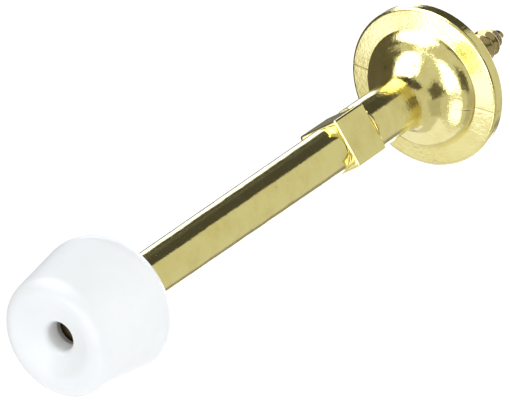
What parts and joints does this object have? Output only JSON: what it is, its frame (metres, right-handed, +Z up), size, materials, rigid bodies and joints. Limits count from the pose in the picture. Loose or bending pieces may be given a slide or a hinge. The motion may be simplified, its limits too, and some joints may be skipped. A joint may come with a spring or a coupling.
{
  "type": "rigid wall door stop",
  "caption": "Rigid wall door stop: round rose, tapered metal shaft with a square spanner collar, wood screw at the back and a push-on rubber tip.",
  "frame": {"origin": "centre of the rose's flat back, on the wall plane, on the screw's axis", "axes": "+Y goes into the wall along the screw, -Y points along the shaft to the rubber tip, +Z is up through one corner of the square collar, +X is to the right seen from the tip's side"},
  "size_m": [0.0254, 0.1166, 0.0254],
  "materials": {
    "brass_plated_casting": "bright plated, mirror-like, lacquered",
    "plated_screw": "thin bright plating over a rolled steel thread",
    "white_rubber": "satin, smooth moulded"
  },
  "bodies": {
    "stop": {"stop_body": "brass_plated_casting", "wood_screw": "plated_screw"},
    "tip": {"rubber_tip": "white_rubber"}
  },
  "joints": [
    {"name": "tip_pull", "type": "slide", "parent": "stop", "child": "tip", "axis": [0, -1, 0], "range_m": [0, 0.012]}
  ]
}
